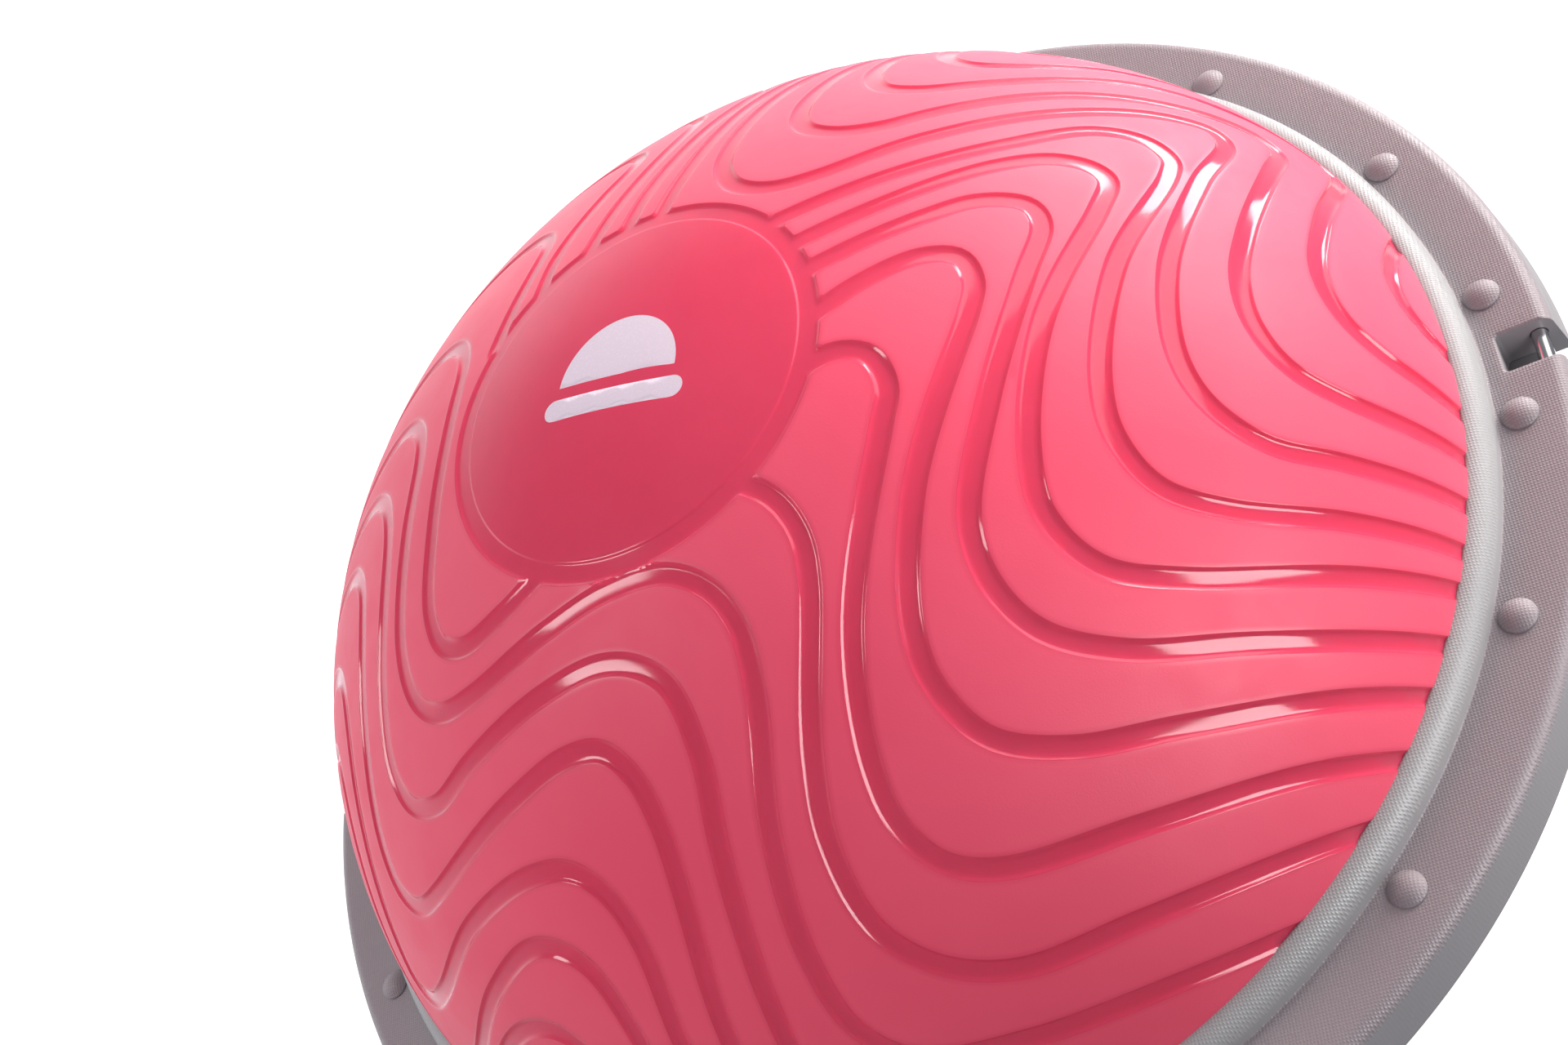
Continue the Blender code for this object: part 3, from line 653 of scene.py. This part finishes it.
def pvc_material():
    """Soft pink vinyl: satin, finely grained plateaus; glossy grooves and medallion in a darker pink of
    painted shade.
    """
    s = Surface("soft_pvc_pink", Subsurface_Scale=0.005, IOR=1.5,
                Subsurface_Radius=(1.0, 0.4, 0.4), Sheen_Roughness=0.5)
    s.shader.subsurface_method = "BURLEY"
    gloss_and_painted_shade = s.attribute("gloss_and_painted_shade")
    cloud = s.ramp(s.noise(14.0, 3.0), 0.3, 0.7)
    plateau = s.mix(cloud, (0.80, 0.068, 0.136), (0.83, 0.079, 0.150))
    # painted shade: grooves, medallion and plateau edges get a darker pink than the plateaus, though all are
    # one vinyl
    groove = s.mix(cloud, (0.66, 0.040, 0.096), (0.68, 0.048, 0.108))
    s.colour(s.mix(gloss_and_painted_shade, plateau, groove))
    grain = s.noise(1600.0, 2.0, 0.6)
    haze = s.ramp(s.noise(60.0, 4.0), 0.35, 0.75, 0.50, 0.58)
    smears = s.ramp(s.noise(45.0, 5.0, 0.6), 0.4, 0.8, 0.09, 0.14)
    share = s.add("ShaderNodeMix", data_type="FLOAT")
    s.feed(share.inputs[0], gloss_and_painted_shade)
    s.feed(share.inputs[2], haze)
    s.feed(share.inputs[3], smears)
    s.roughness(share.outputs[0])
    s.feed(s.shader.inputs["Sheen Weight"], s.ramp(gloss_and_painted_shade, 0.0, 1.0, 0.12, 0.0))
    s.feed(s.shader.inputs["Specular IOR Level"], s.ramp(gloss_and_painted_shade, 0.0, 1.0, 0.36, 0.5))
    s.feed(s.shader.inputs["Subsurface Weight"], s.ramp(s.attribute("depth"), 0.0, 0.15, 0.0, 1.0))
    rough_only = s.ramp(gloss_and_painted_shade, 0.0, 1.0, 0.16, 0.02)
    fine = s.bump(grain, rough_only, 0.00025)
    s.normal(s.bump(s.noise(38.0, 1.0), 0.05, 0.002, fine))
    return s.material


def dots(s, pitch):
    """A grid of raised dots in plan."""
    parts = s.add("ShaderNodeSeparateXYZ")
    s.feed(parts.inputs[0], s.place)
    waves = [s.math("SINE", s.math("MULTIPLY", parts.outputs[axis], math.tau / pitch)) for axis in ("X", "Y")]
    rises = [s.math("MULTIPLY_ADD", wave, 0.5, 0.5) for wave in waves]
    return s.math("MULTIPLY", rises[0], rises[1])


def grey_material(name="moulded_grey", textured=True):
    """Grey moulded plastic. The rim's has a pale crest, and a flange with a fine dot texture, painted darker
    and pinker where it faces up as painted shade.
    """
    s = Surface(name, IOR=1.49)
    cloud = s.ramp(s.noise(9.0, 4.0), 0.3, 0.7)
    scuffs = s.ramp(s.noise(130.0, 6.0, 0.65), 0.62, 0.78)
    crest_body = s.mix(cloud, (0.335, 0.328, 0.342), (0.360, 0.352, 0.364))
    skirt_body = s.mix(cloud, (0.280, 0.266, 0.284), (0.302, 0.288, 0.305))
    flange_painted_shade = s.mix(cloud, (0.266, 0.223, 0.243), (0.290, 0.244, 0.265))
    # painted shade by facing: past the crest, surfaces that face up are painted darker and pinker than the
    # sideways skirt of the same moulding
    up = s.ramp(s.facing_up(), 0.15, 0.55)
    past_crest = s.ramp(s.plan_radius(), CREST_END - 0.001, CREST_END)
    body = s.mix(past_crest, crest_body, s.mix(up, skirt_body, flange_painted_shade)) if textured else skirt_body
    s.colour(s.mix(s.math("MULTIPLY", scuffs, 0.25), body, (0.40, 0.37, 0.39)))
    s.roughness(s.ramp(s.noise(75.0, 5.0), 0.3, 0.7, 0.34, 0.46))
    edge = s.rounded(0.0007)
    orange_peel = s.bump(s.noise(420.0, 2.0), 0.06, 0.0004, edge)
    if textured:
        strength = s.ramp(s.facing_up(), 0.05, 0.35, 0.0, 0.8)
        s.normal(s.bump(dots(s, DOT_PITCH), strength, 0.00016, orange_peel))
    else:
        s.normal(orange_peel)
    return s.material


def steel_material():
    """Polished steel bar with fine drawn lines along it."""
    s = Surface("polished_steel", Metallic=1.0)
    lines = s.noise(900.0, 3.0, 0.6, (1.0, 0.03, 1.0))
    s.colour(s.mix(lines, (0.50, 0.50, 0.52), (0.66, 0.66, 0.67)))
    s.roughness(s.ramp(lines, 0.3, 0.7, 0.12, 0.24))
    s.normal(s.bump(lines, 0.08, 0.0001))
    return s.material


def rubber_material():
    """Matt black rubber with a dusty, fine grain."""
    s = Surface("black_rubber", IOR=1.45)
    dust = s.ramp(s.noise(90.0, 6.0, 0.65), 0.45, 0.8)
    s.colour(s.mix(dust, (0.018, 0.018, 0.019), (0.060, 0.058, 0.056)))
    s.roughness(s.ramp(dust, 0.0, 1.0, 0.62, 0.8))
    s.normal(s.bump(s.noise(1500.0, 3.0), 0.25, 0.0002))
    return s.material


def plug_material():
    """Smooth white plastic with slight handling marks."""
    s = Surface("plug_white", IOR=1.5)
    marks = s.ramp(s.noise(240.0, 5.0, 0.6), 0.5, 0.8)
    s.colour(s.mix(marks, (0.78, 0.77, 0.75), (0.70, 0.69, 0.67)))
    s.roughness(s.ramp(marks, 0.0, 1.0, 0.3, 0.42))
    s.normal(s.bump(s.noise(700.0, 2.0), 0.05, 0.0003, s.rounded(0.0003)))
    return s.material


def ink_material():
    """Pale lilac screen print, a little uneven."""
    s = Surface("print_lilac", IOR=1.5)
    speckle = s.ramp(s.noise(900.0, 4.0, 0.6), 0.45, 0.8)
    s.colour(s.mix(speckle, (0.73, 0.60, 0.70), (0.69, 0.53, 0.64)))
    s.roughness(s.ramp(speckle, 0.0, 1.0, 0.26, 0.36))
    s.normal(s.bump(speckle, 0.08, 0.0001))
    return s.material


def finish_piece(obj, material, slot, *nodes):
    obj.data.materials.clear()
    obj.data.materials.append(material)
    if nodes:
        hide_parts(*nodes)
    return obj


# ---------------------------------------------------------------- pieces


def make_dome(material, ink):
    finish_piece(new_object("tread_dome", tread_mesh()), material, "soft_pvc_pink", "dome_bladder")
    turn = Matrix.Rotation(PRINT_TURN, 2)
    half_disc = arc((0.0, 0.0), PRINT_RADIUS, 0.0, math.pi, 48)
    width, height = PRINT_BAR
    low = -PRINT_GAP - height
    bar = arc((width / 2 - height / 2, low + height / 2), height / 2, -math.pi / 2, math.pi / 2, 12)
    bar += arc((height / 2 - width / 2, low + height / 2), height / 2, math.pi / 2, math.pi * 1.5, 12)
    for name, outline in (("print_half_disc", half_disc), ("print_bar", bar)):
        placed = [tuple(turn @ Vector(p)) for p in outline]
        piece = finish_piece(new_object(name, print_mesh(name, placed)), ink, "soft_pvc_pink")
        piece.visible_shadow = False


def ring_profile():
    """The rim's closed section: crest, flange, lip, skirt and hem, then back along its underside."""
    corner = (RING_INNER + CREST_CORNER, CREST_TOP_Z - CREST_CORNER)
    outline = arc(corner, CREST_CORNER, math.pi, math.pi / 2, 6)
    start = outline.pop()[0]
    for i in range(15):
        angle = math.radians(90 - 84 * i / 14)
        outline.append((start + CREST_WIDTH * math.cos(angle),
                        CREST_TOP_Z - CREST_DROP * (1.0 - math.sin(angle))))
    foot = (outline[-1][0] + CREST_FOOT * 1.1, FLANGE_Z + CREST_FOOT)
    outline += arc(foot, CREST_FOOT, math.pi, math.pi * 1.5, 5)
    outline += [(foot[0] + 0.003, FLANGE_Z), (LIP_CENTRE_R - 0.004, FLANGE_Z)]
    outline += arc((LIP_CENTRE_R, FLANGE_Z - LIP_RADIUS), LIP_RADIUS, math.pi / 2, LIP_END, 14)
    outline += [(RING_OUTER, RING_BOTTOM_Z + SKIRT_CHAMFER)]
    outline += [(RING_OUTER - SKIRT_CHAMFER, RING_BOTTOM_Z)]
    under = FLANGE_Z - FLANGE_THICKNESS
    outline += [(HEM_INNER, RING_BOTTOM_Z), (HEM_INNER, HEM_TOP_Z)]
    outline += [(RING_OUTER - SKIRT_THICKNESS - SKIRT_CHAMFER, HEM_TOP_Z + HEM_SLOPE)]
    outline += [(LIP_CENTRE_R + LIP_RADIUS - SKIRT_THICKNESS, FLANGE_Z - LIP_RADIUS)]
    outline += [(LIP_CENTRE_R, under), (RING_BORE, under), (RING_BORE, LIP_Z - 0.001)]
    return outline


def pocket_outline(spread):
    """The pocket in plan, widened by spread: rounded inner corners, open outwards past the skirt."""
    inner = POCKET_INNER + POCKET_CORNER
    side = POCKET_HALF_WIDTH - POCKET_CORNER
    radius = POCKET_CORNER + spread
    outer = RING_OUTER + 0.01
    points = [(outer, -POCKET_HALF_WIDTH - spread), (outer, POCKET_HALF_WIDTH + spread)]
    points += arc((inner, side), radius, math.pi / 2, math.pi, 8)
    points += arc((inner, -side), radius, math.pi, math.pi * 1.5, 8)
    return points


def lofted_mesh(name, sections):
    """A closed solid through plan outlines at rising heights."""
    bm = bmesh.new()
    loops = [[bm.verts.new((x, y, z)) for x, y in outline] for z, outline in sections]
    for lower, upper in zip(loops, loops[1:]):
        for i in range(len(lower)):
            j = (i + 1) % len(lower)
            bm.faces.new((lower[i], lower[j], upper[j], upper[i]))
    bm.faces.new(loops[0][::-1])
    bm.faces.new(loops[-1])
    bmesh.ops.recalc_face_normals(bm, faces=bm.faces)
    mesh = bpy.data.meshes.new(name)
    bm.to_mesh(mesh)
    bm.free()
    return mesh


def pocket_cutter():
    """The pocket's space, flared at the flange so that its edge is rounded."""
    sections = [(RING_BOTTOM_Z - 0.01, pocket_outline(0.0))]
    for i in range(7):
        angle = math.pi / 2 * i / 6
        z = FLANGE_Z - POCKET_EDGE_ROUND * (1.0 - math.sin(angle))
        sections.append((z, pocket_outline(POCKET_EDGE_ROUND * (1.0 - math.cos(angle)))))
    sections.append((FLANGE_Z + 0.01, pocket_outline(POCKET_EDGE_ROUND * 1.02)))
    return lofted_mesh("pocket", sections)


def pocket_block():
    """The walls round the pocket, filled, inside the ring's skin."""
    skin = 0.0012
    low = POCKET_INNER - POCKET_WALL
    half = POCKET_HALF_WIDTH + POCKET_WALL
    side = [(low, POCKET_FLOOR_Z + FIT_GAP), (low, FLANGE_Z - skin)]
    side += arc((LIP_CENTRE_R, FLANGE_Z - LIP_RADIUS), LIP_RADIUS - skin, math.pi / 2, 0.1, 6)
    side += [(RING_OUTER - 2 * skin, POCKET_FLOOR_Z + FIT_GAP)]
    mesh = lofted_mesh("pocket_walls", [(-half, side), (half, side)])
    mesh.transform(Matrix.Rotation(math.pi / 2, 4, "X"))
    return mesh


def make_ring(material):
    """The rim, with a walled pocket and the pin's bores at either end of X."""
    mesh = turned_mesh("ring", ring_profile(), RING_STEPS, closed=True)
    pin_low, pin_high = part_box("anchor_pin_01")
    bore = [(0.0, -PIN_BORE_HALF), (PIN_BORE_RADIUS, -PIN_BORE_HALF)]
    bore += [(PIN_BORE_RADIUS, PIN_BORE_HALF), (0.0, PIN_BORE_HALF)]
    pin = turned_mesh("pin_bore", bore, 32)
    pin.transform(Matrix.Rotation(math.pi / 2, 4, "X"))
    pin.transform(Matrix.Translation((pin_low + pin_high) / 2))
    for angle in (0.0, math.pi):
        for tool, operation in ((pocket_block(), "UNION"), (pocket_cutter(), "DIFFERENCE"),
                                (pin.copy(), "DIFFERENCE")):
            tool.transform(Matrix.Rotation(angle, 4, "Z"))
            mesh = boolean(mesh, tool, operation)
    mesh.name = "rim_ring"
    smooth(mesh, math.radians(32))
    finish_piece(new_object("rim_ring", mesh), material, "moulded_grey", "clamp_ring")


def make_rivets(material):
    """Low domed heads with a rolled edge, each on a shank."""
    for number in range(1, RIVET_COUNT + 1):
        node = f"rim_rivet_{number:02d}"
        low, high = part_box(node)
        radius = (high.x - low.x) / 2
        seat = FLANGE_Z + FIT_GAP
        rise = high.z - seat
        cap = (radius**2 + rise**2) / (2 * rise)
        start = math.acos((radius - RIVET_EDGE) / cap)
        profile = [(0.0, rise)] + arc((0.0, rise - cap), cap, math.pi / 2, start, 12)[1:]
        corner = (radius - RIVET_EDGE, profile[-1][1] - RIVET_EDGE)
        profile += arc(corner, RIVET_EDGE, start, -0.4, 5)[1:]
        profile += [(radius - 0.0002, 0.0), (RIVET_SHANK, 0.0), (RIVET_SHANK, low.z + 0.002 - seat)]
        profile += [(RIVET_TIP, low.z - seat), (0.0, low.z - seat)]
        centre = ((low.x + high.x) / 2, (low.y + high.y) / 2, seat)
        mesh = turned_mesh(node, profile, 48, place=centre)
        smooth(mesh, math.radians(50))
        finish_piece(new_object(f"rivet_{number:02d}", mesh), material, "moulded_grey", node)


def make_pins(material):
    """The round bar across each band pocket."""
    for number in (1, 2):
        node = f"anchor_pin_{number:02d}"
        low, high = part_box(node)
        radius = (high.z - low.z) / 2
        half = (high.y - low.y) / 2
        profile = [(0.0, half), (radius - PIN_CHAMFER, half), (radius, half - PIN_CHAMFER)]
        profile += [(radius, PIN_CHAMFER - half), (radius - PIN_CHAMFER, -half), (0.0, -half)]
        mesh = turned_mesh(node, profile, 48)
        mesh.transform(Matrix.Rotation(math.pi / 2, 4, "X"))
        mesh.transform(Matrix.Translation((low + high) / 2))
        smooth(mesh, math.radians(30))
        finish_piece(new_object(f"band_pin_{number:02d}", mesh), material, "polished_steel", node)


def panel_outline(inner, outer, spread):
    """One panel in plan, between the ribs at 0 and at its share of a turn, with rounded corners."""
    turn = math.tau / PANEL_COUNT
    quarter = math.pi / 2
    radius = PANEL_CORNER + spread
    aside = PANEL_RIB / 2 + PANEL_CORNER

    def corner(r, angle, low, high):
        return arc((r * math.cos(angle), r * math.sin(angle)), radius, low, high, 6)

    r = outer - PANEL_CORNER
    lean = math.asin(aside / r)
    points = corner(r, lean, -quarter, lean)
    points += arc((0.0, 0.0), outer + spread, lean, turn - lean, 5)[1:-1]
    points += corner(r, turn - lean, turn - lean, turn + quarter)
    r = inner + PANEL_CORNER
    lean = math.asin(aside / r)
    points += corner(r, turn - lean, turn + quarter, turn - lean + math.pi)
    points += arc((0.0, 0.0), inner - spread, turn - lean, lean, 5)[1:-1]
    return points + corner(r, lean, lean + math.pi, 3 * quarter)


def make_platform(material):
    """The CAD platform with panels pressed into its underside."""
    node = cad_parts["base_platform"]
    mesh = node.data.copy()
    mesh.transform(node.matrix_world)
    bm = bmesh.new()
    for inner, outer in PANEL_RINGS:
        sections = [(RING_BOTTOM_Z - PANEL_DEPTH, panel_outline(inner, outer, 2 * PANEL_DRAFT)),
                    (RING_BOTTOM_Z + PANEL_DEPTH, panel_outline(inner, outer, 0.0))]
        panel = lofted_mesh("panel", sections)
        for number in range(PANEL_COUNT):
            bm.from_mesh(panel)
            panel.transform(Matrix.Rotation(math.tau / PANEL_COUNT, 4, "Z"))
    panels = bpy.data.meshes.new("panels")
    bm.to_mesh(panels)
    bm.free()
    mesh = boolean(mesh, panels, "DIFFERENCE")
    mesh.shade_flat()
    finish_piece(new_object("platform_plate", mesh), material, "moulded_grey", "base_platform")


def make_feet(material):
    """Rubber feet with rounded edges and moulded grip rings underneath."""
    for number in range(1, FOOT_COUNT + 1):
        node = f"foot_pad_{number:02d}"
        low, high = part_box(node)
        radius = (high.x - low.x) / 2
        centre = ((low.x + high.x) / 2, (low.y + high.y) / 2, 0.0)
        profile = [(0.0, high.z), (FOOT_STEM, high.z), (FOOT_STEM, FOOT_BODY_TOP), (radius, FOOT_BODY_TOP)]
        profile += arc((radius - FOOT_EDGE, FOOT_EDGE), FOOT_EDGE, 0.0, -math.pi / 2, 5)
        for ring in range(4):
            outer = radius - FOOT_RING_INSET - ring * FOOT_RING_STEP
            profile += [(outer, 0.0), (outer - 0.0005, FOOT_GROOVE)]
            profile += [(outer - 0.0015, FOOT_GROOVE), (outer - 0.002, 0.0)]
        profile.append((0.0, 0.0))
        mesh = turned_mesh(node, profile, 64, place=centre)
        smooth(mesh, math.radians(40))
        finish_piece(new_object(f"grip_foot_{number:02d}", mesh), material, "black_rubber", node)


def make_valve_body(material):
    """The rubber body: a flange either side of the dome's bottom, round a bored neck."""
    low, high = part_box("valve_seat")
    flange = (high.x - low.x) / 2
    well_z = MEMBRANE_Z + WELL_DEPTH
    shelf = well_z + DOME_WALL + FIT_GAP
    base = well_z - FIT_GAP
    profile = [(VALVE_BORE, high.z), (VALVE_NECK - 0.0005, high.z), (VALVE_NECK, high.z - 0.0005)]
    profile += [(VALVE_NECK, shelf + 0.0014), (flange - 0.0004, shelf + 0.001), (flange, shelf + 0.0006)]
    profile += [(flange, shelf), (VALVE_NECK, shelf), (VALVE_NECK, base), (flange, base)]
    profile += [(flange, low.z + 0.0004), (flange - 0.0004, low.z)]
    profile += [(VALVE_BORE + 0.0005, low.z), (VALVE_BORE, low.z + 0.0005)]
    mesh = turned_mesh("valve_seat", profile, 64, closed=True)
    smooth(mesh, math.radians(35))
    finish_piece(new_object("valve_body", mesh), material, "black_rubber", "valve_seat")


def make_plug(material):
    """The pull-out plug: a ribbed shank on a flat head with a shallow dish."""
    low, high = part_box("valve_plug")
    head = (high.x - low.x) / 2
    top = low.z + PLUG_HEAD
    profile = [(0.0, high.z), (PLUG_SHANK - 0.0012, high.z), (PLUG_SHANK - 0.0005, high.z - 0.0008)]
    for rib in range(3):
        z = top + 0.0085 - rib * PLUG_RIB_STEP
        profile += [(PLUG_SHANK, z + 0.0006), (PLUG_SHANK, z)]
        profile += [(PLUG_SHANK - 0.0005, z - 0.0006), (PLUG_SHANK - 0.0005, z - 0.0012)]
    profile += [(PLUG_SHANK - 0.0002, top), (head - 0.0005, top)]
    profile += arc((head - 0.0007, top - 0.0007), 0.0007, math.pi / 2, 0.0, 4)
    profile += arc((head - 0.0007, low.z + 0.0007), 0.0007, 0.0, -math.pi / 2, 4)
    profile += [(0.0045, low.z), (0.004, low.z + 0.0006), (0.0, low.z + 0.0006)]
    mesh = turned_mesh("valve_plug", profile, 64)
    smooth(mesh, math.radians(35))
    finish_piece(new_object("pull_plug", mesh, PLUG_BODY), material, "plug_white", "valve_plug")


# ---------------------------------------------------------------- stage


def make_camera():
    data = bpy.data.cameras.new("camera")
    data.lens = CAMERA_LENS
    data.sensor_width = 36.0
    data.shift_x, data.shift_y = CAMERA_SHIFT
    camera = bpy.data.objects.new("camera", data)
    bpy.context.scene.collection.objects.link(camera)
    look = (Vector(CAMERA_TARGET) - Vector(CAMERA_PLACE)).to_track_quat("-Z", "Y").to_matrix().to_4x4()
    roll = Matrix.Rotation(CAMERA_ROLL, 4, "Z")
    camera.matrix_world = Matrix.Translation(CAMERA_PLACE) @ look @ roll
    bpy.context.scene.camera = camera


def make_light(name, azimuth, elevation, distance, size, power, colour=WHITE, glossy=True, diffuse=True):
    """A soft box that faces the dome. Azimuth is from +X. Reflections can leave it out, or have it alone."""
    data = bpy.data.lights.new(name, "AREA")
    data.shape = "RECTANGLE"
    data.size, data.size_y = size
    data.energy = power
    data.color = colour
    light = bpy.data.objects.new(name, data)
    bpy.context.scene.collection.objects.link(light)
    light.visible_glossy = glossy
    light.visible_diffuse = diffuse
    a, e = math.radians(azimuth), math.radians(elevation)
    away = Vector((math.cos(a) * math.cos(e), math.sin(a) * math.cos(e), math.sin(e)))
    target = Vector((0.0, 0.0, 0.1))
    light.matrix_world = (Matrix.Translation(target + away * distance)
                          @ away.to_track_quat("Z", "Y").to_matrix().to_4x4())


def make_stage():
    """The plain pale floor, the world and the soft boxes."""
    bm = bmesh.new()
    bmesh.ops.create_grid(bm, x_segments=8, y_segments=8, size=FLOOR_HALF)
    mesh = bpy.data.meshes.new("floor")
    bm.to_mesh(mesh)
    bm.free()
    floor = bpy.data.objects.new("floor", mesh)
    bpy.context.scene.collection.objects.link(floor)
    s = Surface("floor_white", Base_Color=(0.50, 0.50, 0.50, 1.0), Emission_Color=(1.0, 1.0, 1.0, 1.0),
                Emission_Strength=0.88)
    s.roughness(s.ramp(s.noise(3.0, 2.0), 0.3, 0.7, 0.6, 0.7))
    mesh.materials.append(s.material)
    floor.visible_diffuse = False
    floor.visible_glossy = False
    make_world()
    bpy.context.scene.view_settings.view_transform = "Standard"
    make_light("key_soft_box", 29.0, 10.0, 1.7, (0.9, 0.8), 35.0, WARM, glossy=False)
    make_light("far_soft_box", 66.0, 10.0, 1.7, (0.6, 0.7), 17.0, WARM, glossy=False)
    make_light("wide_panel", 44.0, 26.0, 1.9, (1.8, 1.2), 15.0, WARM)
    make_light("front_fill", -42.0, 20.0, 1.9, (0.9, 0.9), 11.0, glossy=False)
    make_light("side_card", -24.0, 13.0, 1.7, (0.75, 0.8), 18.0, diffuse=False)
    make_light("far_card", 55.0, 2.0, 1.7, (0.45, 0.65), 10.0, diffuse=False)
    make_light("left_soft_box", 181.0, 56.0, 1.9, (0.5, 0.6), 8.0)
    make_light("low_left_box", 190.0, 20.0, 1.9, (0.9, 0.6), 11.0, glossy=False)


def make_world():
    """Even grey light, with a pale backdrop low down behind the object."""
    world = bpy.data.worlds.new("studio")
    world.use_nodes = True
    tree = world.node_tree
    background = tree.nodes["Background"]
    background.inputs["Color"].default_value = (0.93, 0.96, 1.0, 1.0)
    direction = tree.nodes.new("ShaderNodeTexCoord").outputs["Generated"]
    parts = tree.nodes.new("ShaderNodeSeparateXYZ")
    tree.links.new(direction, parts.inputs[0])
    behind = tree.nodes.new("ShaderNodeVectorMath")
    behind.operation = "DOT_PRODUCT"
    behind.inputs[1].default_value = BACKDROP_SIDE
    tree.links.new(direction, behind.inputs[0])
    shares = []
    for value, low, high in ((parts.outputs["Z"], 0.62, 0.10), (behind.outputs["Value"], 0.1, 0.85)):
        ramp = tree.nodes.new("ShaderNodeMapRange")
        ramp.interpolation_type = "SMOOTHSTEP"
        ramp.inputs["From Min"].default_value = low
        ramp.inputs["From Max"].default_value = high
        tree.links.new(value, ramp.inputs["Value"])
        shares.append(ramp.outputs[0])
    glow = tree.nodes.new("ShaderNodeMath")
    glow.operation = "MULTIPLY"
    strength = tree.nodes.new("ShaderNodeMath")
    strength.operation = "MULTIPLY_ADD"
    strength.inputs[1].default_value = BACKDROP_GLOW
    strength.inputs[2].default_value = WORLD_LIGHT
    tree.links.new(shares[0], glow.inputs[0])
    tree.links.new(shares[1], glow.inputs[1])
    tree.links.new(glow.outputs[0], strength.inputs[0])
    tree.links.new(strength.outputs[0], background.inputs["Strength"])
    bpy.context.scene.world = world


# ---------------------------------------------------------------- build

make_camera()
make_stage()
grey = grey_material()
make_dome(pvc_material(), ink_material())
make_ring(grey)
make_platform(grey_material("moulded_grey_platform", textured=False))
make_rivets(grey)
make_pins(steel_material())
rubber = rubber_material()
make_feet(rubber)
make_valve_body(rubber)
make_plug(plug_material())
